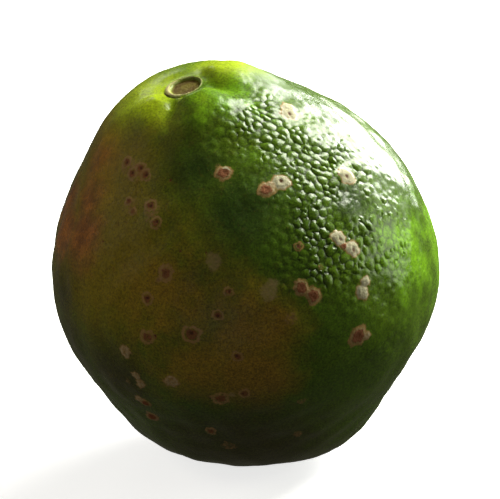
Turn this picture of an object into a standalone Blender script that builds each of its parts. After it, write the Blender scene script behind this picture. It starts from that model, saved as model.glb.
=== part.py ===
"""A whole rangpur lime, as picked: one solid that rests on a small flat spot under its base.

The skin is a net of points spread over every direction from the middle of the fruit. Each
point is pushed out to the skin by a formula: the smooth form, the lobes and the scar of the
stem end, the pebbled rind, the corky scabs and the small scar of the blossom end.
Metres, +Z up. Angles are in degrees. The middle of the fruit's box is over the origin.
"""
import math

import bpy
import numpy as np
from mathutils import Vector, kdtree
from mathutils.geometry import delaunay_2d_cdt

# The smooth form, as distances from the middle of the fruit
BELLY_RADIUS = 0.0246
NECK_RISE = 0.0035
NECK_WIDTH = 30.0
NECK_FLATNESS = 3.0
NECK_LEAN = 22.0
NECK_TURN = 190.0
BELT_RISE = 0.0015
BELT_LATITUDE = -9.0
BELT_WIDTH = 40.0
BASE_RISE = 0.0024
BASE_REACH = 29.0
BASE_FADE = 16.0
FLAT_RADIUS = 0.0050
FLAT_CORNERS = 12

# Low swellings and hollows of the flanks: lean from straight up, turn from +X towards +Y, rise and width
FLANK_SWELLINGS = {
    "behind": (80.0, 75.0, 0.0005, 24.0),
    "behind_left": (110.0, 140.0, 0.0004, 28.0),
    "left": (86.0, 179.0, -0.0002, 12.0),
    "left_base": (145.0, 208.0, -0.00015, 9.0),
    "right_shoulder": (73.0, 6.0, -0.0003, 14.0),
    "right_flank": (118.0, 350.0, -0.0005, 15.0),
    "right_base": (145.0, 332.0, 0.0005, 18.0),
}

# The stem end: its axis, and the scar's ring, floor and crack
STEM_LEAN = 20.0
STEM_TURN = 212.0
DIMPLE_DEPTH = 0.0007
DIMPLE_RADIUS = 0.0062
RING_RADIUS = 0.00236
RING_HEIGHT = 0.00020
RING_THICKNESS = 0.00040
FLOOR_RADIUS = 0.0019
FLOOR_DEPTH = 0.00045
CRACK_RADIUS = 0.0030
CRACK_DEPTH = 0.00025
CRACK_THICKNESS = 0.00030
CRACK_TURN = 222.0
CRACK_SPAN = 55.0

# Lobes and grooves that fan out from the scar: turn about the stem, rise or depth, half width and end
STEM_LOBES = {
    "front": (294.0, 0.00130, 34.0, 0.0150),
    "front_left": (212.0, 0.00070, 22.0, 0.0120),
    "left": (168.0, 0.00025, 20.0, 0.0110),
    "back": (110.0, 0.00025, 32.0, 0.0120),
    "right": (24.0, 0.00085, 28.0, 0.0140),
}
STEM_GROOVES = {
    "front_left": (247.0, 0.00060, 8.0, 0.0100),
    "front_right": (340.0, 0.00060, 12.0, 0.0140),
}
LOBE_START = 0.0027
LOBE_FULL = 0.0048
LOBE_FLATNESS = 3.0

# The small scar of the blossom end, straight across from the stem
BLOSSOM_DIMPLE_DEPTH = 0.0004
BLOSSOM_DIMPLE_RADIUS = 0.0035
BLOSSOM_SCAR_RADIUS = 0.0008
BLOSSOM_SCAR_HEIGHT = 0.0004
BLOSSOM_FLATNESS = 4.0

# The pebbled rind, larger than life, and how far it stays clear of the scars and the flat spot
PEBBLE_COUNT = 880
PEBBLE_HEIGHT = 0.00046
PEBBLE_REACH = 0.00185
PEBBLE_JITTER = 0.40
PEBBLE_SEED = 11
NET_COUNT = 1600
NET_JITTER = 0.15
NET_SEED = 5
EVENING_ROUNDS = 2
SMOOTH_STEM_RADIUS = 0.0050
PEBBLED_STEM_RADIUS = 0.0120
PEBBLED_FLAT_MARGIN = 0.0025

# How the photograph sees the fruit: used only to place the scabs that it shows
PHOTO_MIDDLE = (250.0, 249.5)
PIXELS_PER_METRE = 7452.0
VIEW_ELEVATION = 18.0
VIEW_DISTANCE = 0.350
VIEW_AIM_RIGHT = 0.0006
VIEW_AIM_UP = 0.0017
AIM_ROUNDS = 8

# Corky scabs on the side that the photograph shows: its pixel across and down, and the width
SEEN_SCABS = {
    "shoulder_left_upper": (126.7, 162.0, 0.0015),
    "shoulder_left_lower": (132.7, 174.0, 0.0015),
    "shoulder_left_inner": (143.0, 171.0, 0.0021),
    "flank_left_upper": (128.7, 201.3, 0.0012),
    "flank_left_inner": (150.7, 205.3, 0.0016),
    "flank_left_lower": (156.0, 221.0, 0.0017),
    "front_upper": (223.5, 173.0, 0.0021),
    "shoulder_right": (289.5, 111.5, 0.0023),
    "neck_right": (346.5, 176.0, 0.0024),
    "pair_red": (266.0, 190.0, 0.0021),
    "pair_pale": (281.5, 182.0, 0.0022),
    "right_pair_upper": (338.4, 237.8, 0.0019),
    "right_pair_lower": (352.5, 248.5, 0.0020),
    "front_right_dull": (298.5, 246.5, 0.0011),
    "middle_pair_upper": (301.5, 287.5, 0.0020),
    "middle_pair_lower": (313.5, 295.5, 0.0021),
    "right_flank_pale": (363.5, 288.0, 0.0019),
    "right_flank_red": (358.0, 336.0, 0.0026),
    "middle_dull": (291.5, 318.5, 0.0017),
    "left_ringed": (166.0, 273.0, 0.0020),
    "left_small": (147.5, 298.5, 0.0015),
    "middle_tiny": (228.5, 291.5, 0.0011),
    "middle_small": (218.0, 315.0, 0.0013),
    "low_left": (147.5, 337.0, 0.0019),
    "low_middle_red": (191.5, 334.0, 0.0022),
    "low_left_tan": (125.5, 351.5, 0.0017),
    "low_middle_small": (237.5, 356.5, 0.0013),
    "base_left_upper": (138.5, 380.0, 0.0017),
    "base_left_inner": (171.5, 381.5, 0.0019),
    "base_middle": (220.5, 398.5, 0.0021),
    "base_middle_small": (244.5, 393.0, 0.0014),
    "base_left": (143.0, 401.0, 0.0018),
    "base_left_low": (152.0, 416.5, 0.0018),
    "base_low": (211.0, 431.0, 0.0014),
    "base_lowest": (229.0, 446.0, 0.0017),
    "base_right_small": (302.0, 401.0, 0.0011),
    "base_right_low": (298.0, 434.0, 0.0012),
}

# Scabs of like size on the sides that the photograph doesn't show: small groups, clear of both ends
HIDDEN_GROUPS = 22
HIDDEN_PER_GROUP = 3
HIDDEN_SPREAD = 0.0024
HIDDEN_WIDTHS = (0.0012, 0.0023)
HIDDEN_SEED = 5
SEEN_SHARE = 0.05
CLEAR_OF_ENDS = 16.0
CLEAR_OF_BLOSSOM = 10.0

# The shape of a scab
SCAB_SEED = 8
SCAB_HEIGHT = 0.00024
SCAB_PIT_DEPTH = 0.00022
SCAB_PIT_SHARE = 0.40
SCAB_RIM_PLACE = 0.65
SCAB_FOOT_PLACE = 1.10
SCAB_RAGGEDNESS = 0.14

# Rings of points about the scars and in each scab: how far out, and how many points
STEM_RINGS = ((0.0, 1), (0.0010, 8), (0.0017, 14), (0.00236, 20), (0.0030, 24), (0.0038, 24))
BLOSSOM_RINGS = ((0.0, 1), (0.0008, 8), (0.0016, 12))
SCAB_RINGS = ((0.0, 1), (SCAB_RIM_PLACE, 8), (1.05, 9))

# How far the net of the pebbled rind stays clear of those rings and of the flat spot
NET_STEM_CLEARANCE = 0.0041
NET_BLOSSOM_CLEARANCE = 0.0022
NET_FLAT_CLEARANCE = 0.0056
NET_SCAB_COVER = 0.02

# Points of the net closer together than this are one point, and edges that turn by more are creases
LEAST_GAP = 0.00030
CREASE_ANGLE = 30.0

RIND_COLOUR = (0.035, 0.085, 0.012, 1.0)
RIND_ROUGHNESS = 0.35


def unit(vectors):
    return vectors / np.linalg.norm(vectors, axis=-1, keepdims=True)


def direction(lean, turn):
    """The unit vector that leans from straight up, turned about +Z from +X towards +Y."""
    lean = math.radians(lean)
    turn = math.radians(turn)
    return np.array([math.sin(lean) * math.cos(turn), math.sin(lean) * math.sin(turn), math.cos(lean)])


UP = np.array([0.0, 0.0, 1.0])
NECK_AXIS = direction(NECK_LEAN, NECK_TURN)
STEM_AXIS = direction(STEM_LEAN, STEM_TURN)
FLAT_DEPTH = math.sqrt((BELLY_RADIUS + BASE_RISE) ** 2 - FLAT_RADIUS**2)

VIEW_TILT = math.radians(VIEW_ELEVATION)
VIEW_RIGHT = np.array([1.0, 0.0, 0.0])
VIEW_UP = np.array([0.0, math.sin(VIEW_TILT), math.cos(VIEW_TILT)])
VIEW_BACK = np.array([0.0, -math.cos(VIEW_TILT), math.sin(VIEW_TILT)])
VIEW_AIM = VIEW_RIGHT * VIEW_AIM_RIGHT + VIEW_UP * VIEW_AIM_UP
VIEW_EYE = VIEW_AIM + VIEW_BACK * VIEW_DISTANCE


def angle_from(directions, axis):
    return np.degrees(np.arccos(np.clip(directions @ axis, -1.0, 1.0)))


def bell(offset, width, power=2.0):
    return np.exp(-((np.abs(offset) / width) ** power))


def step(value, low, high):
    """Rises smoothly from 0 at low to 1 at high."""
    part = np.clip((value - low) / (high - low), 0.0, 1.0)
    return part * part * (3.0 - 2.0 * part)


def axes_across(axis, reference):
    """Two unit vectors square to an axis: the first lies along the reference, as seen down the axis."""
    first = unit(reference - axis * (reference @ axis))
    return first, np.cross(axis, first)


def form_radius(directions):
    """Distance from the middle of the fruit to its smooth form."""
    latitude = np.degrees(np.arcsin(np.clip(directions[:, 2], -1.0, 1.0)))
    below = angle_from(directions, -UP)
    radius = BELLY_RADIUS + NECK_RISE * bell(angle_from(directions, NECK_AXIS), NECK_WIDTH, NECK_FLATNESS)
    radius += BELT_RISE * bell(latitude - BELT_LATITUDE, BELT_WIDTH)
    radius += BASE_RISE * bell(np.maximum(below - BASE_REACH, 0.0), BASE_FADE)
    for lean, turn, rise, width in FLANK_SWELLINGS.values():
        radius += rise * bell(angle_from(directions, direction(lean, turn)), width)
    return radius


def stem_reach(directions):
    """How far out from the middle of the stem's scar, over the skin."""
    return np.radians(angle_from(directions, STEM_AXIS)) * (BELLY_RADIUS + NECK_RISE)


def blossom_reach(directions):
    """How far out from the middle of the blossom's scar, over the skin."""
    return np.radians(angle_from(directions, -STEM_AXIS)) * (BELLY_RADIUS + BASE_RISE)


def flat_reach(directions):
    """How far out from the middle of the flat spot, over the skin."""
    return np.radians(angle_from(directions, -UP)) * (BELLY_RADIUS + BASE_RISE)


def stem_turn(directions):
    along_x, along_y = axes_across(STEM_AXIS, np.array([1.0, 0.0, 0.0]))
    return np.degrees(np.arctan2(directions @ along_y, directions @ along_x))


def turned_from(turn, middle):
    """How far a turn is from a middle one, the short way round."""
    return (turn - middle + 180.0) % 360.0 - 180.0


def lobed(reach, end):
    """How strongly lobes and grooves show: from the scar out to their end."""
    return step(reach, LOBE_START, LOBE_FULL) * (1.0 - step(reach, LOBE_FULL, end))


def stem_end_height(directions):
    """Lobes, grooves, dimple, ring, floor and crack of the stem end, above the smooth form."""
    reach = stem_reach(directions)
    turn = stem_turn(directions)
    height = -DIMPLE_DEPTH * bell(reach, DIMPLE_RADIUS, LOBE_FLATNESS)
    for middle, rise, width, end in STEM_LOBES.values():
        height += rise * lobed(reach, end) * bell(turned_from(turn, middle), width, LOBE_FLATNESS)
    for middle, depth, width, end in STEM_GROOVES.values():
        height -= depth * lobed(reach, end) * bell(turned_from(turn, middle), width)
    cracked = bell(turned_from(turn, CRACK_TURN), CRACK_SPAN)
    height += RING_HEIGHT * bell(reach - RING_RADIUS, RING_THICKNESS)
    height -= FLOOR_DEPTH * (1.0 - step(reach, FLOOR_RADIUS - RING_THICKNESS, RING_RADIUS))
    height -= CRACK_DEPTH * cracked * bell(reach - CRACK_RADIUS, CRACK_THICKNESS)
    return height


def blossom_end_height(directions):
    """A shallow dimple with the low round scar that the flower left."""
    reach = blossom_reach(directions)
    dimple = BLOSSOM_DIMPLE_DEPTH * bell(reach, BLOSSOM_DIMPLE_RADIUS)
    return BLOSSOM_SCAR_HEIGHT * bell(reach, BLOSSOM_SCAR_RADIUS, BLOSSOM_FLATNESS) - dimple


def seen_direction(across, down):
    """The direction from the middle of the fruit to what the photograph shows at a pixel."""
    sideways = (across - PHOTO_MIDDLE[0]) / PIXELS_PER_METRE
    upwards = -(down - PHOTO_MIDDLE[1]) / PIXELS_PER_METRE
    ray = unit(VIEW_AIM + VIEW_RIGHT * sideways + VIEW_UP * upwards - VIEW_EYE)
    radius = BELLY_RADIUS
    for _ in range(AIM_ROUNDS):
        half = VIEW_EYE @ ray
        room = max(half * half - VIEW_EYE @ VIEW_EYE + radius * radius, 0.0)
        found = unit(VIEW_EYE - ray * (half + math.sqrt(room)))
        radius = form_radius(found[None, :])[0]
    return found


def scabs():
    """Every scab as its direction from the middle of the fruit and its width."""
    found = [(seen_direction(across, down), width) for across, down, width in SEEN_SCABS.values()]
    draw = np.random.default_rng(HIDDEN_SEED)
    for _ in range(HIDDEN_GROUPS):
        middle = unit(draw.normal(size=3))
        for _ in range(HIDDEN_PER_GROUP):
            place = unit(middle + draw.normal(size=3) * HIDDEN_SPREAD / BELLY_RADIUS)
            width = draw.uniform(*HIDDEN_WIDTHS)
            hidden = place @ VIEW_BACK <= SEEN_SHARE
            clear = angle_from(place, STEM_AXIS) > CLEAR_OF_ENDS and angle_from(place, -UP) > CLEAR_OF_ENDS
            if hidden and clear and angle_from(place, -STEM_AXIS) > CLEAR_OF_BLOSSOM:
                found.append((place, width))
    return found


def scab_height(directions, marks):
    """Each scab is a low pad with a pit in it. Gives the height and how much of the rind it covers."""
    pad = np.zeros(len(directions))
    pit = np.zeros(len(directions))
    for place, width in marks:
        reach = np.radians(angle_from(directions, place)) * BELLY_RADIUS / (width / 2.0)
        pad = np.maximum(pad, 1.0 - step(reach, SCAB_RIM_PLACE, SCAB_FOOT_PLACE))
        pit = np.maximum(pit, bell(reach, SCAB_PIT_SHARE))
    return SCAB_HEIGHT * pad - SCAB_PIT_DEPTH * pit, pad


def rind_share(directions):
    """How strongly the rind is pebbled: not at the scars and the flat spot, and fully elsewhere."""
    share = step(stem_reach(directions), SMOOTH_STEM_RADIUS, PEBBLED_STEM_RADIUS)
    share *= step(blossom_reach(directions), BLOSSOM_SCAR_RADIUS, BLOSSOM_DIMPLE_RADIUS)
    return share * step(flat_reach(directions), FLAT_RADIUS, FLAT_RADIUS + PEBBLED_FLAT_MARGIN)


def ring_of_directions(axis, reach, count, phase=0.0):
    """Directions in a ring about an axis, at a distance over the skin, half a turn apart by phase."""
    first, second = axes_across(axis, np.array([1.0, 0.0, 0.0]) if abs(axis[0]) < 0.9 else UP)
    angle = np.broadcast_to(reach / (BELLY_RADIUS + NECK_RISE), (count,))[:, None]
    turns = (np.arange(count) + phase) * 2.0 * math.pi / count
    sideways = np.outer(np.cos(turns), first) + np.outer(np.sin(turns), second)
    return axis * np.cos(angle) + sideways * np.sin(angle)


def flat_ring():
    """Directions to the corners of the flat spot."""
    turns = np.arange(FLAT_CORNERS) * 2.0 * math.pi / FLAT_CORNERS
    corners = [np.cos(turns) * FLAT_RADIUS, np.sin(turns) * FLAT_RADIUS, np.full(FLAT_CORNERS, -FLAT_DEPTH)]
    return unit(np.stack(corners, axis=1))


def ringed_directions(marks):
    """The rings of points: the flat spot's first, then the scars' and the scabs'."""
    rings = [flat_ring()]
    for reach, count in STEM_RINGS:
        rings.append(ring_of_directions(STEM_AXIS, reach, count, phase=0.5))
    for reach, count in BLOSSOM_RINGS:
        rings.append(ring_of_directions(-STEM_AXIS, reach, count))
    draw = np.random.default_rng(SCAB_SEED)
    for place, width in marks:
        for share, count in SCAB_RINGS:
            ragged = 1.0 + draw.uniform(-SCAB_RAGGEDNESS, SCAB_RAGGEDNESS, count)
            rings.append(ring_of_directions(place, share * width / 2.0 * ragged, count, phase=0.5 * share))
    return np.concatenate(rings)


def spread_directions(count, jitter, seed):
    """Directions spread evenly over the sphere along a spiral, each moved a little at random."""
    draw = np.random.default_rng(seed)
    number = np.arange(count) + 0.5
    rise = 1.0 - 2.0 * number / count
    turns = number * math.pi * (3.0 - math.sqrt(5.0))
    flat = np.sqrt(1.0 - rise * rise)
    even = np.stack([flat * np.cos(turns), flat * np.sin(turns), rise], axis=1)
    spacing = math.sqrt(4.0 * math.pi / count)
    return unit(even + draw.uniform(-1.0, 1.0, even.shape) * spacing * jitter)


def joined_into_triangles(directions):
    """Triangles between directions, all but straight down, from their map seen from straight down."""
    plane = directions[:, :2] / (1.0 + directions[:, 2:])
    points = [Vector(point) for point in plane.tolist()]
    return np.array(delaunay_2d_cdt(points, [], [], 0, 0.0)[2])


def evened_out(directions):
    """Moves each direction to the middle of the triangles round it."""
    triangles = joined_into_triangles(directions)
    middles = unit(directions[triangles].sum(axis=1))
    total = np.zeros_like(directions)
    np.add.at(total, triangles.ravel(), np.repeat(middles, 3, axis=0))
    return unit(total)


def evenly_spread(count, jitter, seed):
    """Directions all over the sphere, spread at random and then evened out."""
    spread = spread_directions(count, jitter, seed)
    for _ in range(EVENING_ROUNDS):
        spread = evened_out(spread)
    return spread


def pebble_directions():
    """An even net of directions, and for each how high it stands in its pebble: 1 top, -1 valley."""
    knots = evenly_spread(NET_COUNT, NET_JITTER, NET_SEED)
    places = np.concatenate([knots, unit(knots[joined_into_triangles(knots)].sum(axis=1))])
    tops = evenly_spread(PEBBLE_COUNT, PEBBLE_JITTER, PEBBLE_SEED)
    tree = kdtree.KDTree(len(tops))
    for index, top in enumerate(tops.tolist()):
        tree.insert(top, index)
    tree.balance()
    gaps = np.array([tree.find(place)[2] for place in places.tolist()]) * BELLY_RADIUS / PEBBLE_REACH
    return places, 1.0 - 2.0 * np.minimum(gaps, 1.0) ** 2


def thinned(directions, kinds):
    """Drops each direction that comes too close to one before it."""
    tree = kdtree.KDTree(len(directions))
    for index, place in enumerate(directions.tolist()):
        tree.insert(place, index)
    tree.balance()
    gap = LEAST_GAP / BELLY_RADIUS
    dropped = np.zeros(len(directions), dtype=bool)
    for index, place in enumerate(directions.tolist()):
        if not dropped[index]:
            for _, other, _ in tree.find_range(place, gap):
                if other > index:
                    dropped[other] = True
    return directions[~dropped], kinds[~dropped]


def net_directions(marks):
    """All directions of the net, and for each how high it stands in its pebble: 1 top, -1 valley."""
    rings = ringed_directions(marks)
    pebbles, kinds = pebble_directions()
    _, cover = scab_height(pebbles, marks)
    free = cover < NET_SCAB_COVER
    free &= stem_reach(pebbles) > NET_STEM_CLEARANCE
    free &= blossom_reach(pebbles) > NET_BLOSSOM_CLEARANCE
    free &= flat_reach(pebbles) > NET_FLAT_CLEARANCE
    return thinned(
        np.concatenate([rings, pebbles[free]]),
        np.concatenate([np.zeros(len(rings)), kinds[free]]),
    )


def skin_points(directions, kinds, marks):
    """Pushes every direction out to the skin, and presses what would pass the flat spot onto it."""
    scab, cover = scab_height(directions, marks)
    relief = 0.5 * PEBBLE_HEIGHT * kinds * rind_share(directions) * (1.0 - cover)
    radius = form_radius(directions) + stem_end_height(directions) + blossom_end_height(directions)
    radius += relief + scab
    downwards = np.maximum(-directions[:, 2], 1e-6)
    radius = np.minimum(radius, FLAT_DEPTH / downwards)
    points = directions * radius[:, None]
    points[:FLAT_CORNERS, 2] = -FLAT_DEPTH
    return points


def fruit_mesh():
    marks = scabs()
    directions, kinds = net_directions(marks)
    points = skin_points(directions, kinds, marks)
    faces = joined_into_triangles(directions)
    below = len(points)
    points = np.concatenate([points, [[0.0, 0.0, -FLAT_DEPTH]]])
    ring = np.arange(FLAT_CORNERS)
    fan = np.stack([np.roll(ring, -1), ring, np.full(FLAT_CORNERS, below)], axis=1)
    faces = np.concatenate([faces, fan])
    middle = (points.max(axis=0) + points.min(axis=0)) / 2.0
    points -= (middle[0], middle[1], points[:, 2].min())
    mesh = bpy.data.meshes.new("fruit")
    mesh.from_pydata(points.tolist(), [], faces.tolist())
    mesh.shade_smooth()
    mesh.set_sharp_from_angle(angle=math.radians(CREASE_ANGLE))
    return mesh


def rind_material():
    material = bpy.data.materials.new("rind")
    material.use_nodes = True
    shader = material.node_tree.nodes["Principled BSDF"]
    shader.inputs["Base Color"].default_value = RIND_COLOUR
    shader.inputs["Roughness"].default_value = RIND_ROUGHNESS
    shader.inputs["Metallic"].default_value = 0.0
    return material


def main():
    for old in list(bpy.data.objects):
        bpy.data.objects.remove(old)
    fruit = bpy.data.objects.new("fruit", fruit_mesh())
    fruit.data.materials.append(rind_material())
    bpy.context.scene.collection.objects.link(fruit)


main()
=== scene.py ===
"""The looks of the rangpur lime: its rind at true scale, its scars and scabs, and a plain studio.

The rind is one closed mesh. As in the part's source, it is a net of points spread over every
direction from the middle of the fruit, and formulas push each point out to the skin. Here the
net is finer: every pebble is a small dome of true size, and the scabs and the stem's scar have
rings of points of their own. Numbers kept at each point tell the material where things are.
Metres, +Z up. Angles are in degrees.
"""
import math

import bpy
import numpy as np
from mathutils import Matrix, Vector, kdtree
from mathutils.geometry import delaunay_2d_cdt


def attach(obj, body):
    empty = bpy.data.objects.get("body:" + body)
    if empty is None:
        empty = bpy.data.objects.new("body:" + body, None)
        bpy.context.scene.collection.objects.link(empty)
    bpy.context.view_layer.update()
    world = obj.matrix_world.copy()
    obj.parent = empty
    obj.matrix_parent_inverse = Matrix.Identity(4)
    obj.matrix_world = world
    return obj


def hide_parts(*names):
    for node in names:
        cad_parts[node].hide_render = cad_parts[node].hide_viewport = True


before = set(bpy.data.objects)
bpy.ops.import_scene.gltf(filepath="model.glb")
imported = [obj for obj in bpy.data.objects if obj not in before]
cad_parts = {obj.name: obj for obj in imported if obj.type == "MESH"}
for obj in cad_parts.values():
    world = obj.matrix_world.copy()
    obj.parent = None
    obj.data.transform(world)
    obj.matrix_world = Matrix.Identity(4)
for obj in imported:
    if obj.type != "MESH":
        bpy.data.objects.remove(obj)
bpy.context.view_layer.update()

# The smooth form, as distances from the middle of the fruit: the same values as the part's
BELLY_RADIUS = 0.0246
NECK_RISE = 0.0035
NECK_WIDTH = 30.0
NECK_FLATNESS = 3.0
NECK_LEAN = 22.0
NECK_TURN = 190.0
BELT_RISE = 0.0015
BELT_LATITUDE = -9.0
BELT_WIDTH = 40.0
BASE_RISE = 0.0024
BASE_REACH = 29.0
BASE_FADE = 16.0
FLAT_RADIUS = 0.0050
FLAT_CORNERS = 60

# Low swellings and hollows of the flanks: lean from straight up, turn from +X towards +Y, rise and width
FLANK_SWELLINGS = {
    "behind": (80.0, 75.0, 0.0005, 24.0),
    "behind_left": (110.0, 140.0, 0.0004, 28.0),
    "left": (86.0, 179.0, -0.0002, 12.0),
    "left_base": (145.0, 208.0, -0.00015, 9.0),
    "right_shoulder": (73.0, 6.0, -0.0003, 14.0),
    "right_flank": (118.0, 350.0, -0.0005, 15.0),
    "right_base": (145.0, 332.0, 0.0005, 18.0),
}

# Gentle unevenness of the whole skin
UNEVEN_HEIGHT = 0.00007
UNEVEN_WAVES = 24
UNEVEN_PER_TURN = (20.0, 55.0)
UNEVEN_SEED = 3

# The stem end: its axis, and the scar's ring, floor and crack
STEM_LEAN = 20.0
STEM_TURN = 212.0
DIMPLE_DEPTH = 0.0007
DIMPLE_RADIUS = 0.0062
RING_RADIUS = 0.00236
RING_HEIGHT = 0.00008
RING_THICKNESS = 0.00015
RING_WIDE_TURN = 200.0
RING_WIDENING = 0.00020
RING_UNEVENNESS = 0.00004
RING_FLATNESS = 4.0
RING_WIDE_SPAN = 70.0
RING_LEAST_PALE = 0.60
FLOOR_DEPTH = 0.00042
CRACK_RADIUS = 0.00276
CRACK_DEPTH = 0.00022
CRACK_THICKNESS = 0.00017
CRACK_TURN = 222.0
CRACK_SPAN = 55.0
CRACK_COLOUR_SPAN = 60.0

# Waves that make the scar's ring uneven: how many to a turn, and their phase
RING_UNEVEN_WAVES = ((5.0, 0.0), (9.0, 1.0))

# Edge of the scar's floor, in half widths of the ring inwards from its middle: of the form and of the colour
FLOOR_EDGE = (2.2, 0.3)
FLOOR_COLOUR_EDGE = (2.0, 0.9)

# Lobes and grooves that fan out from the scar: turn about the stem, rise, half width and end
STEM_LOBES = {
    "front": (294.0, 0.00130, 34.0, 0.0150),
    "front_left": (212.0, 0.00070, 22.0, 0.0120),
    "left": (168.0, 0.00025, 20.0, 0.0110),
    "back": (110.0, 0.00025, 32.0, 0.0120),
    "right": (24.0, 0.00085, 28.0, 0.0140),
}
STEM_GROOVES = {
    "front_left": (247.0, 0.00060, 8.0, 0.0100),
    "front_right": (340.0, 0.00060, 12.0, 0.0140),
}
LOBE_START = 0.0027
LOBE_FULL = 0.0048
LOBE_FLATNESS = 3.0

# The small scar of the blossom end, straight across from the stem
BLOSSOM_DIMPLE_DEPTH = 0.0004
BLOSSOM_DIMPLE_RADIUS = 0.0035
BLOSSOM_SCAR_RADIUS = 0.0008
BLOSSOM_SCAR_HEIGHT = 0.0004
BLOSSOM_FLATNESS = 4.0

# The net of points: the reach and the spacing of its patches at the scars, the scabs and the flat spot
SCAR_NET_RADIUS = 0.0052
BLOSSOM_NET_RADIUS = 0.0016
SCAR_NET_STEP = 0.0002
SCAB_NET_REACH = 1.25
SCAB_NET_STEP = 0.00016
FLAT_NET_REACH = 1.04
LEAST_RING_POINTS = 6

# Cosine past which an axis counts as lying along another, and the least fall of a direction to the flat spot
NEARLY_ALONG = 0.9
LEAST_DROP = 1e-6

# Points of the net closer together than this are one point, and edges that turn by more are creases
LEAST_GAP = 0.00009
CREASE_ANGLE = 32.0

# How far out the rounded side of a pebble lies, towards a corner and towards a neighbour
SIDE_TO_CORNER = 0.50
SIDE_TO_NEIGHBOUR = 0.57

# How high a pebble is at its side, at its outline and on the whole, as shares of its full height
SIDE_SHARE = 0.66
OUTLINE_SHARE = 0.08
MEAN_SHARE = 0.45

# The pebbled rind: pebbles of mixed sizes, drawn at random and kept clear of each other
PEBBLE_TRIES = 60000
PEBBLE_RADII = (0.00030, 0.00060)
COARSE_GROWTH = 1.40
PEBBLE_HEIGHT = 0.68
PEBBLE_TALLNESS = (0.35, 1.25)
PEBBLE_SKEW = 1.2
PATCH_WAVES = 20
PATCH_PER_TURN = (25.0, 60.0)
PATCH_SEED = 12
PATCH_SHARE = 0.45
PATCH_LIMITS = (0.2, 1.6)
PEBBLE_SEED = 21

# How the pebbles fade: near the scars and the flat spot, outside their zones and at the edges of those
SMOOTH_STEM_RADIUS = 0.0045
PEBBLED_STEM_RADIUS = 0.0125
PEBBLED_FLAT_MARGIN = 0.0020
FAINT_RELIEF = 0.08
FINE_FADE = 1.5
RELIEF_FADE = 2.0

# Where the pebbles are fine and stand out: the photograph's pixel across and down, width and strength
PEBBLED_ZONES = {
    "front_right": (326.0, 178.0, 25.0, 1.0),
    "front_middle": (330.0, 236.0, 20.0, 1.0),
    "front_lobe": (250.0, 118.0, 16.0, 1.0),
    "right": (374.0, 229.0, 22.0, 0.85),
    "right_base": (380.0, 320.0, 20.0, 0.30),
}
ZONE_FLATNESS = 2.8

# Where the pebbles are calmer: the photograph's pixel across and down, width and strength
CALM_ZONES = {
    "top_right": (388.0, 122.0, 19.0, 0.9),
    "right_hollow": (351.0, 200.0, 6.0, 0.6),
}

# How the photograph sees the fruit: for the camera, and to place what the photograph shows
PHOTO_WIDTH = 500.0
PHOTO_MIDDLE = (250.0, 249.5)
PIXELS_PER_METRE = 7452.0
VIEW_ELEVATION = 18.0
VIEW_DISTANCE = 0.350
VIEW_AIM_RIGHT = 0.0006
VIEW_AIM_UP = 0.0017
AIM_ROUNDS = 8
SENSOR_WIDTH = 36.0
NEAREST_SEEN = 0.01

# Kinds of scab: how pale the pad is and how red inside, and how strong its pit, rim, rise and stain are
SCAB_KINDS = {
    "ringed": (0.38, 0.75, 0.52, 0.70, 0.5, 0.0),
    "eye": (0.05, 0.80, 0.80, 0.80, 0.4, 0.0),
    "corky": (1.00, 0.00, 0.80, 0.00, 1.0, 0.0),
    "red": (0.45, 1.00, 0.45, 0.70, 0.9, 0.0),
    "crust": (1.00, 0.00, 0.10, 0.00, 1.0, 0.0),
    "pad": (0.60, 0.10, 0.10, 0.00, 0.6, 0.0),
    "dull": (0.30, 0.35, 0.30, 0.30, 0.3, 0.0),
    "scurf": (0.24, 0.42, 0.00, 0.10, 0.2, 0.0),
    "stain": (0.00, 0.00, 0.00, 0.00, 0.0, 0.8),
    "dot": (0.05, 0.60, 0.90, 0.15, 0.1, 0.0),
}

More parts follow.
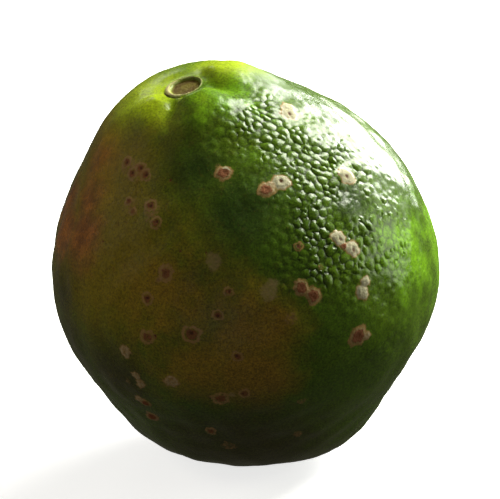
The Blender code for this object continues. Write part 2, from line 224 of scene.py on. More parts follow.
# Scabs on the side that the photograph shows: its pixel across and down, the width and the kind
SEEN_SCABS = {
    "shoulder_left_upper": (126.7, 162.0, 0.0015, "eye"),
    "shoulder_left_lower": (132.7, 174.0, 0.0015, "eye"),
    "shoulder_left_inner": (140.7, 168.0, 0.0014, "eye"),
    "shoulder_left_last": (145.3, 174.5, 0.0015, "eye"),
    "shoulder_left_base": (136.0, 179.0, 0.0011, "dull"),
    "shoulder_left_scurf": (139.0, 171.0, 0.0031, "scurf"),
    "shoulder_left_scurf_upper": (128.5, 167.0, 0.0023, "scurf"),
    "shoulder_tiny": (170.7, 180.0, 0.0007, "dot"),
    "flank_left_upper": (128.7, 201.3, 0.0012, "ringed"),
    "flank_left_small": (132.7, 211.3, 0.0011, "ringed"),
    "flank_left_inner": (150.7, 205.3, 0.0016, "eye"),
    "flank_left_link": (152.5, 214.0, 0.0012, "dull"),
    "flank_left_lower": (156.0, 222.7, 0.0015, "eye"),
    "flank_left_scurf": (131.0, 206.0, 0.0022, "scurf"),
    "flank_left_scurf_inner": (151.5, 211.0, 0.0027, "scurf"),
    "left_edge_dot": (102.7, 241.3, 0.0007, "dot"),
    "front_upper": (223.5, 173.0, 0.0021, "red"),
    "front_upper_lump": (226.0, 170.0, 0.0010, "corky"),
    "shoulder_right": (289.5, 113.5, 0.0022, "corky"),
    "shoulder_right_upper": (288.0, 107.5, 0.0018, "crust"),
    "neck_right": (346.5, 176.0, 0.0024, "corky"),
    "pair_red": (266.0, 190.0, 0.0021, "red"),
    "pair_red_lump": (271.0, 185.0, 0.0012, "pad"),
    "pair_pale": (281.5, 182.0, 0.0022, "corky"),
    "right_pair_upper": (338.4, 237.8, 0.0019, "corky"),
    "right_pair_link": (343.5, 246.0, 0.0011, "red"),
    "right_pair_lower": (352.5, 248.5, 0.0020, "corky"),
    "front_right_dull": (298.5, 246.5, 0.0011, "eye"),
    "middle_pair_upper": (301.5, 287.5, 0.0020, "red"),
    "middle_pair_lower": (313.5, 295.5, 0.0021, "red"),
    "middle_pale": (269.0, 292.0, 0.0026, "stain"),
    "middle_pale_tip": (272.5, 284.0, 0.0017, "stain"),
    "middle_left_pale": (213.5, 261.5, 0.0024, "stain"),
    "middle_left_dot": (206.0, 253.0, 0.0005, "dot"),
    "middle_dot": (180.3, 251.3, 0.0006, "dot"),
    "right_flank_upper": (365.0, 281.5, 0.0014, "crust"),
    "right_flank_pale": (362.5, 292.0, 0.0019, "crust"),
    "right_flank_red": (358.0, 336.0, 0.0026, "red"),
    "right_flank_lump": (366.5, 335.5, 0.0013, "pad"),
    "middle_right_small": (320.5, 267.0, 0.0008, "dull"),
    "middle_dull": (291.5, 318.5, 0.0017, "dull"),
    "left_ringed": (166.0, 273.0, 0.0020, "ringed"),
    "left_ringed_tail": (158.0, 279.0, 0.0010, "dull"),
    "left_small": (147.5, 298.5, 0.0015, "eye"),
    "middle_tiny": (228.5, 291.5, 0.0011, "eye"),
    "middle_small": (218.0, 315.0, 0.0013, "eye"),
    "low_left": (147.5, 337.0, 0.0019, "ringed"),
    "low_left_dot": (155.0, 336.5, 0.0010, "dot"),
    "low_middle_red": (191.5, 334.0, 0.0022, "eye"),
    "low_left_tan": (125.5, 351.5, 0.0017, "pad"),
    "low_middle_small": (237.5, 356.5, 0.0013, "eye"),
    "base_left_upper": (136.0, 376.0, 0.0013, "pad"),
    "base_left_middle": (140.5, 384.0, 0.0014, "pad"),
    "base_left_outer": (128.0, 381.0, 0.0008, "dull"),
    "base_left_inner": (171.5, 381.5, 0.0019, "pad"),
    "base_left_pit": (172.0, 378.5, 0.0006, "dot"),
    "base_middle": (220.5, 398.5, 0.0021, "ringed"),
    "base_middle_link": (232.0, 394.5, 0.0010, "stain"),
    "base_middle_small": (244.5, 393.0, 0.0014, "eye"),
    "base_left": (140.0, 399.0, 0.0014, "pad"),
    "base_left_red": (146.0, 402.5, 0.0014, "red"),
    "base_left_low": (152.0, 416.5, 0.0018, "red"),
    "base_low": (211.0, 431.0, 0.0014, "ringed"),
    "base_lowest": (229.0, 446.0, 0.0017, "dull"),
    "base_right_small": (302.0, 401.0, 0.0011, "dull"),
    "base_right_low": (298.0, 434.0, 0.0012, "dull"),
}

# Scabs of like size on the sides that the photograph doesn't show: small groups, clear of both ends
HIDDEN_GROUPS = 22
HIDDEN_PER_GROUP = 3
HIDDEN_SPREAD = 0.0024
HIDDEN_WIDTHS = (0.0012, 0.0023)
HIDDEN_SEED = 5
SEEN_SHARE = 0.05
CLEAR_OF_ENDS = 16.0
CLEAR_OF_BLOSSOM = 10.0

# The shape of a scab, and where each of its parts ends, as shares of its half width
SCAB_SEED = 8
SCAB_HEIGHT = 0.00016
SCAB_PIT_DEPTH = 0.00014
SCAB_PIT_SHARE = 0.36
SCAB_PIT_SHIFT = 0.22
SCAB_RAGGEDNESS = 0.075
SCAB_WAVES = 6
SCAB_REACH = 1.7
SCAB_RIM_PLACE = 0.90
SCAB_RIM_WIDTH = 0.26
SCAB_EDGES = {
    "pad": (0.35, 1.15),
    "pale": (0.75, 1.25),
    "red": (0.45, 0.90),
    "stain": (0.55, 1.30),
}

# Zones of colour, of painted light and painted shade, and of shine: the photograph's pixel across and down,
# the width and the strength
LOOKS_ZONES = {
    "yellow": {
        "stem_left": (148.0, 92.0, 13.0, 1.0),
        "stem_ridge": (146.0, 108.0, 8.0, 0.8),
        "stem_right": (226.0, 64.0, 11.0, 1.0),
        "stem_far": (190.0, 64.0, 12.0, 0.8),
    },
    "blush": {
        "left_top": (99.0, 162.0, 9.0, 0.55),
        "left_upper": (91.0, 198.0, 9.0, 0.80),
        "left_middle": (84.0, 232.0, 10.0, 0.90),
        "left_edge_upper": (68.0, 202.0, 9.0, 0.90),
        "left_edge": (65.0, 230.0, 9.0, 0.90),
        "left_lower": (88.0, 258.0, 7.0, 0.5),
    },
    "olive": {
        "left": (98.0, 225.0, 37.0, 1.0),
        "shoulder": (110.0, 130.0, 18.0, 0.8),
    },
    "brown": {
        "middle_left": (195.0, 310.0, 24.0, 0.75),
        "middle": (246.0, 330.0, 20.0, 0.85),
        "middle_edge": (280.0, 320.0, 9.0, 0.7),
        "low_middle": (250.0, 372.0, 17.0, 0.85),
        "low_left": (200.0, 366.0, 20.0, 0.75),
        "centre": (215.0, 240.0, 16.0, 0.4),
    },
    # Painted light: brighter green where light falls on the right flank and edge, the stem's lobes, a groove
    # and the beads below the stem
    "painted_light": {
        "right_edge": (438.0, 234.0, 24.0, 1.0),
        "right_flank": (410.0, 252.0, 17.0, 1.0),
        "front_lobe": (205.0, 105.0, 13.0, 0.8),
        "groove": (238.0, 92.0, 14.0, 0.6),
        "front_beads": (256.0, 128.0, 13.0, 0.3),
    },
    # Painted shade: darker at the base and along the lower left limb, the side turned away from the lights
    "dark": {
        "base": (240.0, 450.0, 30.0, 1.0),
        "left_limb": (62.0, 297.0, 15.0, 0.75),
        "lower_left": (75.0, 345.0, 18.0, 0.8),
        "low_left": (115.0, 375.0, 18.0, 0.8),
    },
    # Painted shade: dark green where the middle of the fruit and a hollow on the right lie in shade
    "shade": {
        "centre": (242.0, 210.0, 16.0, 1.0),
        "centre_left": (194.0, 172.0, 15.0, 0.9),
        "right_hollow": (351.0, 200.0, 7.0, 1.0),
    },
    "gold": {
        "upper": (107.0, 147.0, 6.0, 1.0),
        "middle": (105.0, 172.0, 6.0, 0.9),
        "lower": (105.0, 198.0, 6.0, 0.8),
    },
    "dull": {
        "stem_shoulder": (260.0, 74.0, 7.0, 0.8),
    },
}

# Colours of the rind, scabs and scar, as light in linear red, green and blue
DEEP_GREEN = (0.055, 0.110, 0.005)
MIDDLE_GREEN = (0.080, 0.150, 0.006)
# Painted light: the brighter green laid where light falls
PAINTED_LIGHT_GREEN = (0.140, 0.300, 0.007)
YELLOW_GREEN = (0.300, 0.400, 0.008)
OLIVE = (0.222, 0.170, 0.008)
BROWN = (0.290, 0.176, 0.015)
RUSSET = (0.400, 0.152, 0.030)
RUSSET_BROWN = (0.240, 0.098, 0.026)
# Painted shade: the dark green laid at the base and the lower left limb
PAINTED_SHADE_DARK_GREEN = (0.055, 0.058, 0.011)
FRECKLE_BROWN = (0.150, 0.072, 0.008)
# Painted shade: the dark green laid where the fruit lies in shade
PAINTED_SHADE_GREEN = (0.030, 0.060, 0.006)
GOLD = (0.330, 0.230, 0.012)
STAIN_TAN = (0.360, 0.260, 0.120)
SCAB_TAN = (0.360, 0.212, 0.078)
SCAB_CREAM = (0.470, 0.440, 0.290)
SCAB_RED = (0.215, 0.070, 0.022)
SCAB_PIT_COLOUR = (0.080, 0.022, 0.005)
RING_CREAM = (0.480, 0.430, 0.190)
FLOOR_OLIVE = (0.135, 0.105, 0.006)
FLOOR_BROWN = (0.100, 0.062, 0.006)
CRACK_BROWN = (0.085, 0.052, 0.014)

# Patterns of the rind: how wide a spot is, how finely it is broken up and how roughly
BROAD_PATTERN = (0.012, 3.0, 0.5)
MOTTLE_PATTERN = (0.0025, 4.0, 0.6)
BLOTCH_PATTERN = (0.0030, 2.0, 0.5)
STREAK_PATTERN = (0.0017, 3.0, 0.6)
FRECKLE_PATTERN = (0.00085, 3.0, 0.6)
SPECKLE_PATTERN = (0.00027, 3.0, 0.75)
SCAB_PATTERN = (0.00038, 3.0, 0.7)
SCAR_PATTERN = (0.0006, 4.0, 0.65)
FLOOR_PATTERN = (0.0016, 2.0, 0.5)
WAX_PATTERN = (0.0011, 3.0, 0.5)
GRAIN_PATTERN = (0.00022, 2.0, 0.6)
LUMP_PATTERN = (0.00060, 3.0, 0.6)
CRUST_PATTERN = (0.00045, 4.0, 0.7)

# How strongly a pattern frays the edges of zones, scabs and the scar
BROAD_FRAY = 0.9
MOTTLE_FRAY = 0.5
BLOTCH_FRAY = 2.0
SCAB_FRAY = 1.1
SCAR_FRAY = 0.8

# Zones over the greens, in the order in which they are laid: colour, and where it begins and is full
ZONE_LAYERS = {
    "olive": (OLIVE, 0.10, 0.90),
    "brown": (BROWN, 0.20, 0.90),
    # Painted shade at the base and the lower left limb
    "dark": (PAINTED_SHADE_DARK_GREEN, 0.20, 1.00),
    # Painted shade over the middle of the fruit and the hollow on the right
    "shade": (PAINTED_SHADE_GREEN, 0.20, 1.00),
    "gold": (GOLD, 0.20, 1.00),
    "yellow": (YELLOW_GREEN, 0.20, 1.00),
}

# The value of a pattern, or of a number kept at each point, at which a colour begins and at which it is full
GREEN_RANGE = (0.35, 0.65)
# Where the painted light's brighter green begins and is full
PAINTED_LIGHT_RANGE = (0.25, 1.15)
STREAK_RANGE = (0.40, 0.60)
BLUSH_RANGE = (0.20, 0.95)
FRECKLE_RANGE = (0.56, 0.70)
STAIN_RANGE = (0.25, 1.25)
CREAM_RANGE = (0.35, 1.05)
TAN_RANGE = (0.10, 0.60)
RIM_RANGE = (0.25, 0.80)
RED_RANGE = (0.25, 0.90)
PIT_RANGE = (0.25, 0.80)
FLOOR_RANGE = (0.4, 0.6)
RING_RANGE = (0.15, 0.75)
CRACK_RANGE = (0.35, 0.75)

# How strong the freckles are, how dark the painted shade between pebbles and how light the painted light on
# their tops make the rind, and how dark and how light the speckles make it
FRECKLE_STRENGTHS = (0.0, 0.45)
PEBBLE_PAINTED_SHADE_RANGE = (-0.40, 0.10)
PEBBLE_PAINTED_SHADES = (0.42, 1.15)
SPECKLE_RANGE = (0.3, 0.7)
SPECKLE_SHADES = (0.56, 1.44)

# How rough the waxy skin is, how much calm and dull skin differ from it, and how rough dry skin is
WAX_RANGE = (0.2, 0.8)
WAX_ROUGHNESS = (0.20, 0.30)
CALM_ROUGHNESS = -0.04
DULL_ROUGHNESS = 0.22
DRY_RANGE = (0.2, 0.7)
DRY_ROUGHNESS = 0.85

# Relief too fine for the mesh: its depth in metres, and how strong it is
GRAIN_DEPTH = 0.00003
GRAIN_STRENGTH = 0.6
LUMP_DEPTH = 0.00006
LUMP_RANGE = (0.0, 0.8)
LUMP_STRENGTHS = (0.25, 1.0)
CRUST_DEPTH = 0.00022
CRUST_RANGE = (0.1, 0.6)

# How light bends at the wax, and how it spreads in the rind
WAX_IOR = 1.46
SPREAD_SHARE = 0.04
SPREAD_COLOURS = (0.6, 1.0, 0.2)
SPREAD_DEPTH = 0.0008

# The ground and the backdrop of the studio
GROUND_SIDE = 6.0
GROUND_WHITE = (0.93, 0.93, 0.92)
GROUND_ROUGHNESS = 0.9
GROUND_SHINE = 0.1
GROUND_GLOW_WHITE = (1.0, 1.0, 1.0)
GROUND_GLOW = 0.75
BACKDROP_COLOUR = (1.0, 0.92, 0.72)
BACKDROP_STRENGTH = 0.072

# Lights that the rind mirrors: the photograph's right, up and back, distance, width, height, power and tint
MIRRORED_LIGHTS = {
    "far_window": ((0.568, 0.585, -0.579), 0.6, 0.26, 0.35, 4.4, (1.0, 1.0, 0.97)),
    "window": ((0.545, 0.838, -0.035), 0.6, 0.28, 0.36, 5.4, (0.97, 1.0, 0.84)),
    "back_window": ((-0.30, 0.73, -0.61), 0.6, 0.12, 0.12, 0.10, (1.0, 1.0, 0.92)),
    "right_fill": ((0.95, 0.22, -0.05), 0.6, 0.30, 0.34, 0.95, (0.97, 1.0, 0.85)),
}

# Lights that it doesn't mirror, given in the same way
PLAIN_LIGHTS = {
    "near_window": ((0.45, 0.80, -0.40), 0.5, 0.40, 0.40, 3.4, (1.0, 0.99, 0.95)),
    "left_fill": ((-0.90, 0.42, 0.10), 0.6, 0.40, 0.40, 0.7, (1.0, 0.92, 0.80)),
    "front_fill": ((-0.22, -0.45, 0.86), 0.8, 0.50, 0.50, 0.80, (1.0, 0.94, 0.80)),
}


def unit(vectors):
    """The vectors, each made one long."""
    return vectors / np.linalg.norm(vectors, axis=-1, keepdims=True)


def direction(lean, turn):
    """The unit vector that leans from straight up, turned about +Z from +X towards +Y."""
    lean = math.radians(lean)
    turn = math.radians(turn)
    return np.array([math.sin(lean) * math.cos(turn), math.sin(lean) * math.sin(turn), math.cos(lean)])


UP = np.array([0.0, 0.0, 1.0])
SIDEWAYS = np.array([1.0, 0.0, 0.0])
NECK_RADIUS = BELLY_RADIUS + NECK_RISE
BASE_RADIUS = BELLY_RADIUS + BASE_RISE
NECK_AXIS = direction(NECK_LEAN, NECK_TURN)
STEM_AXIS = direction(STEM_LEAN, STEM_TURN)
FLAT_DEPTH = math.sqrt(BASE_RADIUS**2 - FLAT_RADIUS**2)

VIEW_TILT = math.radians(VIEW_ELEVATION)
VIEW_RIGHT = SIDEWAYS
VIEW_UP = np.array([0.0, math.sin(VIEW_TILT), math.cos(VIEW_TILT)])
VIEW_BACK = np.array([0.0, -math.cos(VIEW_TILT), math.sin(VIEW_TILT)])
VIEW_AIM = VIEW_RIGHT * VIEW_AIM_RIGHT + VIEW_UP * VIEW_AIM_UP
VIEW_EYE = VIEW_AIM + VIEW_BACK * VIEW_DISTANCE


def angle_from(directions, axis):
    """How far directions lean from an axis."""
    return np.degrees(np.arccos(np.clip(directions @ axis, -1.0, 1.0)))


def bell(offset, width, power=2.0):
    """Is 1 at no offset and falls off on both sides; a higher power has a flatter top."""
    return np.exp(-((np.abs(offset) / width) ** power))


def step(value, low, high):
    """Rises smoothly from 0 at low to 1 at high."""
    part = np.clip((value - low) / (high - low), 0.0, 1.0)
    return part * part * (3.0 - 2.0 * part)


def axes_across(axis, reference):
    """Two unit vectors square to an axis: the first lies along the reference, as seen down the axis."""
    first = unit(reference - axis * (reference @ axis))
    return first, np.cross(axis, first)


def form_radius(directions):
    """Distance from the middle of the fruit to its smooth form."""
    latitude = np.degrees(np.arcsin(np.clip(directions[:, 2], -1.0, 1.0)))
    below = angle_from(directions, -UP)
    radius = BELLY_RADIUS + NECK_RISE * bell(angle_from(directions, NECK_AXIS), NECK_WIDTH, NECK_FLATNESS)
    radius += BELT_RISE * bell(latitude - BELT_LATITUDE, BELT_WIDTH)
    radius += BASE_RISE * bell(np.maximum(below - BASE_REACH, 0.0), BASE_FADE)
    for lean, turn, rise, width in FLANK_SWELLINGS.values():
        radius += rise * bell(angle_from(directions, direction(lean, turn)), width)
    return radius


def waves(directions, count, per_turn, seed):
    """A smooth uneven pattern between about -1 and 1: seeded waves that cross in all directions."""
    draw = np.random.default_rng(seed)
    total = np.zeros(len(directions))
    for _ in range(count):
        heading = unit(draw.normal(size=3))
        pace = draw.uniform(*per_turn)
        total += np.sin(directions @ heading * pace + draw.uniform(0.0, 2.0 * math.pi))
    return total / math.sqrt(count)


def stem_reach_and_turn(directions):
    """How far points are from the middle of the stem end over the skin, and their turn about it."""
    along_x, along_y = axes_across(STEM_AXIS, SIDEWAYS)
    reach = np.radians(angle_from(directions, STEM_AXIS)) * NECK_RADIUS
    return reach, np.degrees(np.arctan2(directions @ along_y, directions @ along_x))


def turned_from(turn, middle):
    """How far a turn is from a middle one, the short way round."""
    return (turn - middle + 180.0) % 360.0 - 180.0


def ring_thickness(turn):
    """Half the width of the scar's ring: wider on one side, and a little uneven all round."""
    wider = RING_WIDENING * bell(turned_from(turn, RING_WIDE_TURN), RING_WIDE_SPAN)
    uneven = sum(np.sin(per_turn * np.radians(turn) + phase) for per_turn, phase in RING_UNEVEN_WAVES)
    return RING_THICKNESS + wider + RING_UNEVENNESS * uneven / len(RING_UNEVEN_WAVES)


def scar_floor(reach, thickness, edge):
    """Is 1 on the floor of the scar and falls to 0 at its edge, inside the ring."""
    begin, end = edge
    return 1.0 - step(reach, RING_RADIUS - begin * thickness, RING_RADIUS - end * thickness)


def lobed(reach, end):
    """How strong a lobe or a groove is: it begins outside the scar and fades out at its end."""
    return step(reach, LOBE_START, LOBE_FULL) * (1.0 - step(reach, LOBE_FULL, end))


def stem_end_height(directions):
    """Lobes, grooves, dimple, ring, floor and crack of the stem end, above the smooth form."""
    reach, turn = stem_reach_and_turn(directions)
    thickness = ring_thickness(turn)
    height = -DIMPLE_DEPTH * bell(reach, DIMPLE_RADIUS, LOBE_FLATNESS)
    for middle, rise, width, end in STEM_LOBES.values():
        height += rise * lobed(reach, end) * bell(turned_from(turn, middle), width, LOBE_FLATNESS)
    for middle, depth, width, end in STEM_GROOVES.values():
        height -= depth * lobed(reach, end) * bell(turned_from(turn, middle), width)
    cracked = bell(turned_from(turn, CRACK_TURN), CRACK_SPAN)
    height += RING_HEIGHT * bell(reach - RING_RADIUS, thickness, RING_FLATNESS)
    height -= FLOOR_DEPTH * scar_floor(reach, thickness, FLOOR_EDGE)
    height -= CRACK_DEPTH * cracked * bell(reach - CRACK_RADIUS, CRACK_THICKNESS)
    return height


def blossom_end_height(directions):
    """A shallow dimple with the low round scar that the flower left."""
    reach = np.radians(angle_from(directions, -STEM_AXIS)) * BASE_RADIUS
    dimple = BLOSSOM_DIMPLE_DEPTH * bell(reach, BLOSSOM_DIMPLE_RADIUS)
    return BLOSSOM_SCAR_HEIGHT * bell(reach, BLOSSOM_SCAR_RADIUS, BLOSSOM_FLATNESS) - dimple


def seen_direction(across, down):
    """The direction from the middle of the fruit to what the photograph shows at a pixel."""
    sideways = (across - PHOTO_MIDDLE[0]) / PIXELS_PER_METRE
    upwards = -(down - PHOTO_MIDDLE[1]) / PIXELS_PER_METRE
    ray = unit(VIEW_AIM + VIEW_RIGHT * sideways + VIEW_UP * upwards - VIEW_EYE)
    radius = BELLY_RADIUS
    for _ in range(AIM_ROUNDS):
        half = VIEW_EYE @ ray
        room = max(half * half - VIEW_EYE @ VIEW_EYE + radius * radius, 0.0)
        found = unit(VIEW_EYE - ray * (half + math.sqrt(room)))
        radius = form_radius(found[None, :])[0]
    return found


def scabs():
    """Every scab as its direction from the middle of the fruit, its width and its kind."""
    found = []
    for across, down, width, kind in SEEN_SCABS.values():
        found.append((seen_direction(across, down), width, SCAB_KINDS[kind]))
    draw = np.random.default_rng(HIDDEN_SEED)
    kinds = list(SCAB_KINDS.values())
    for _ in range(HIDDEN_GROUPS):
        middle = unit(draw.normal(size=3))
        for _ in range(HIDDEN_PER_GROUP):
            place = unit(middle + draw.normal(size=3) * HIDDEN_SPREAD / BELLY_RADIUS)
            width = draw.uniform(*HIDDEN_WIDTHS)
            hidden = place @ VIEW_BACK <= SEEN_SHARE
            clear = angle_from(place, STEM_AXIS) > CLEAR_OF_ENDS and angle_from(place, -UP) > CLEAR_OF_ENDS
            if hidden and clear and angle_from(place, -STEM_AXIS) > CLEAR_OF_BLOSSOM:
                found.append((place, width, kinds[len(found) % len(kinds)]))
    return found


def ragged_edge(turn, phases):
    """Where a scab ends all round it, as a share of its half width: waves that get finer and lower."""
    rises = []
    for index, phase in enumerate(phases):
        rises.append(SCAB_RAGGEDNESS / math.sqrt(index + 1.0) * np.sin((index + 2.0) * turn + phase))
    return 1.0 + sum(rises)


def scab_masks(directions, marks):
    """For each point: the pad and pit that shape a scab, and the tones that colour it."""
    draw = np.random.default_rng(SCAB_SEED)
    names = ("pad", "pit", "pale", "red", "rim", "stain")
    masks = {name: np.zeros(len(directions)) for name in names}
    for place, width, (pale, red, pit, rim, rise, stain) in marks:
        first, second = axes_across(place, UP)
        phases = draw.uniform(0.0, 2.0 * math.pi, SCAB_WAVES)
        shift = draw.uniform(-SCAB_PIT_SHIFT, SCAB_PIT_SHIFT, 2)
        near = np.flatnonzero(directions @ place > math.cos(SCAB_REACH * width / 2.0 / BELLY_RADIUS))
        x = directions[near] @ first * BELLY_RADIUS / (width / 2.0)
        y = directions[near] @ second * BELLY_RADIUS / (width / 2.0)
        reach = np.hypot(x, y) / ragged_edge(np.arctan2(y, x), phases)
        found = {
            "pit": pit * bell(np.hypot(x - shift[0], y - shift[1]), SCAB_PIT_SHARE),
            "rim": rim * bell(reach - SCAB_RIM_PLACE, SCAB_RIM_WIDTH),
        }
        for name, strength in {"pad": rise, "pale": pale, "red": red, "stain": stain}.items():
            found[name] = strength * (1.0 - step(reach, *SCAB_EDGES[name]))
        for name in names:
            masks[name][near] = np.maximum(masks[name][near], found[name])
    return masks


def rind_share(directions):
    """How strongly the rind is pebbled: not at the scars and the flat spot, and fully elsewhere."""
    stem_reach, _ = stem_reach_and_turn(directions)
    blossom_reach = np.radians(angle_from(directions, -STEM_AXIS)) * BELLY_RADIUS
    flat_reach = np.radians(angle_from(directions, -UP)) * BASE_RADIUS
    share = step(stem_reach, SMOOTH_STEM_RADIUS, PEBBLED_STEM_RADIUS)
    share *= step(blossom_reach, BLOSSOM_SCAR_RADIUS, BLOSSOM_DIMPLE_RADIUS)
    return share * step(flat_reach, FLAT_RADIUS, FLAT_RADIUS + PEBBLED_FLAT_MARGIN)


def ring_of_directions(axis, reach, count, phase):
    """Directions in a ring about an axis, at a reach over the skin; the phase turns it by part of a step."""
    first, second = axes_across(axis, SIDEWAYS if abs(axis @ SIDEWAYS) < NEARLY_ALONG else UP)
    angle = reach / NECK_RADIUS
    turns = (np.arange(count) + phase) * 2.0 * math.pi / count
    sideways = np.outer(np.cos(turns), first) + np.outer(np.sin(turns), second)
    return axis * math.cos(angle) + sideways * math.sin(angle)


def disc_of_directions(axis, radius, spacing):
    """Rings of directions that fill a round patch about an axis, every other one turned by half a step."""
    rings = [axis[None, :]]
    for number in range(1, int(radius / spacing) + 1):
        count = max(round(2.0 * math.pi * number), LEAST_RING_POINTS)
        rings.append(ring_of_directions(axis, number * spacing, count, 0.5 * (number % 2)))
    return np.concatenate(rings)


def joined_into_triangles(directions):
    """Triangles between directions, all but straight down, from their map seen from straight down."""
    plane = directions[:, :2] / (1.0 + directions[:, 2:])
    points = [Vector(point) for point in plane.tolist()]
    return np.array(delaunay_2d_cdt(points, [], [], 0, 0.0)[2])


def kept_clear(directions, gaps):
    """Numbers of the directions that keep their gaps, in metres, from each one kept before them."""
    tree = kdtree.KDTree(len(directions))
    places = (directions * BELLY_RADIUS).tolist()
    for index, place in enumerate(places):
        tree.insert(place, index)
    tree.balance()
    widest = gaps.max()
    dropped = np.zeros(len(directions), dtype=bool)
    for index, place in enumerate(places):
        if not dropped[index]:
            for _, other, distance in tree.find_range(place, gaps[index] + widest):
                if other > index and distance < gaps[index] + gaps[other]:
                    dropped[other] = True
    return np.flatnonzero(~dropped)


def pebbles():
    """Directions to the tops of all pebbles, with the pebbles' radii and heights."""
    draw = np.random.default_rng(PEBBLE_SEED)
    tops = unit(draw.normal(size=(PEBBLE_TRIES, 3)))
    least, most = PEBBLE_RADII
    radii = least + (most - least) * draw.random(PEBBLE_TRIES) ** PEBBLE_SKEW
    fine = zone(tops, PEBBLED_ZONES, ZONE_FLATNESS)
    radii *= COARSE_GROWTH - (COARSE_GROWTH - 1.0) * fine
    kept = kept_clear(tops, radii)
    tops = tops[kept]
    radii = radii[kept]
    strength = fine[kept] ** FINE_FADE * (1.0 - zone(tops, CALM_ZONES))
    patches = 1.0 + PATCH_SHARE * waves(tops, PATCH_WAVES, PATCH_PER_TURN, PATCH_SEED)
    drawn = draw.uniform(*PEBBLE_TALLNESS, len(tops))
    tallness = PEBBLE_HEIGHT * radii * drawn * np.clip(patches, *PATCH_LIMITS)
    tallness *= FAINT_RELIEF + (1.0 - FAINT_RELIEF) * strength
    return tops, radii, tallness


def pebble_net():
    """Directions all over every pebble, each one's share of the pebble's height, and those heights."""
    tops, radii, tallness = pebbles()
    triangles = joined_into_triangles(tops)
    corners = unit(tops[triangles].sum(axis=1))
    sides = np.concatenate([triangles[:, [0, 1]], triangles[:, [1, 2]], triangles[:, [2, 0]]])
    sides = np.unique(np.sort(sides, axis=1), axis=0)
    place = (radii[sides[:, 1]] / radii[sides].sum(axis=1))[:, None]
    outlines = unit(tops[sides[:, 0]] * place + tops[sides[:, 1]] * (1.0 - place))
    places = [tops, outlines, corners]
    shares = [np.ones(len(tops)), np.full(len(outlines), OUTLINE_SHARE), np.zeros(len(corners))]
    heights = [tallness, tallness[sides].min(axis=1), tallness[triangles].mean(axis=1)]
    to_corners = (triangles.ravel(), np.repeat(corners, 3, axis=0), SIDE_TO_CORNER)
    to_neighbours = (sides.ravel(), np.repeat(outlines, 2, axis=0), SIDE_TO_NEIGHBOUR)
    for owners, outwards, part in (to_corners, to_neighbours):
        places.append(unit(tops[owners] * (1.0 - part) + outwards * part))
        shares.append(np.full(len(owners), SIDE_SHARE))
        heights.append(tallness[owners])
    return np.concatenate(places), np.concatenate(shares), np.concatenate(heights)


def flat_ring():
    """Directions to the corners of the flat spot."""
    turns = np.arange(FLAT_CORNERS) * 2.0 * math.pi / FLAT_CORNERS
    corners = [np.cos(turns) * FLAT_RADIUS, np.sin(turns) * FLAT_RADIUS, np.full(FLAT_CORNERS, -FLAT_DEPTH)]
    return unit(np.stack(corners, axis=1))


def patches_of_net(marks):
    """Directions at the flat spot, the two scars and every scab, which have points of their own."""
    patches = [flat_ring()]
    patches.append(disc_of_directions(STEM_AXIS, SCAR_NET_RADIUS, SCAR_NET_STEP))
    patches.append(disc_of_directions(-STEM_AXIS, BLOSSOM_NET_RADIUS, SCAR_NET_STEP))
    for place, width, _ in marks:
        patches.append(disc_of_directions(place, SCAB_NET_REACH * width / 2.0, SCAB_NET_STEP))
    return np.concatenate(patches)


def clear_of_patches(directions, marks):
    """Which directions lie outside all the patches."""
    flat_angle = math.degrees(math.asin(FLAT_RADIUS / BASE_RADIUS)) * FLAT_NET_REACH
    clear = angle_from(directions, -UP) > flat_angle
    clear &= angle_from(directions, STEM_AXIS) > math.degrees(SCAR_NET_RADIUS / NECK_RADIUS)
    clear &= angle_from(directions, -STEM_AXIS) > math.degrees(BLOSSOM_NET_RADIUS / NECK_RADIUS)
    for place, width, _ in marks:
        clear &= directions @ place < math.cos(SCAB_NET_REACH * width / 2.0 / NECK_RADIUS)
    return clear


def net_directions(marks):
    """All directions of the net, each one's share of its pebble's height, and those heights."""
    patches = patches_of_net(marks)
    places, shares, heights = pebble_net()
    clear = clear_of_patches(places, marks)
    directions = np.concatenate([patches, places[clear]])
    shares = np.concatenate([np.full(len(patches), MEAN_SHARE), shares[clear]])
    heights = np.concatenate([np.zeros(len(patches)), heights[clear]])
    kept = kept_clear(directions, np.full(len(directions), LEAST_GAP / 2.0))
    return directions[kept], shares[kept], heights[kept]


def zone(directions, zones, flatness=2.0):
    """How strongly each point lies in any of the zones."""
    share = np.zeros(len(directions))
    for across, down, width, strength in zones.values():
        off = angle_from(directions, seen_direction(across, down))
        share = np.maximum(share, strength * bell(off, width, flatness))
    return share


def skin_points(directions, pebble_rises, masks):
    """Points of the skin in all directions of the net."""
    reach, _ = stem_reach_and_turn(directions)
    radius = form_radius(directions) + stem_end_height(directions) + blossom_end_height(directions)
    fade = step(reach, RING_RADIUS, PEBBLED_STEM_RADIUS)
    radius += UNEVEN_HEIGHT * fade * waves(directions, UNEVEN_WAVES, UNEVEN_PER_TURN, UNEVEN_SEED)
    radius += pebble_rises
    radius += SCAB_HEIGHT * masks["pad"] - SCAB_PIT_DEPTH * masks["pit"]
    radius = np.minimum(radius, FLAT_DEPTH / np.maximum(-directions[:, 2], LEAST_DROP))
    points = directions * radius[:, None]
    points[:FLAT_CORNERS, 2] = -FLAT_DEPTH
    return points


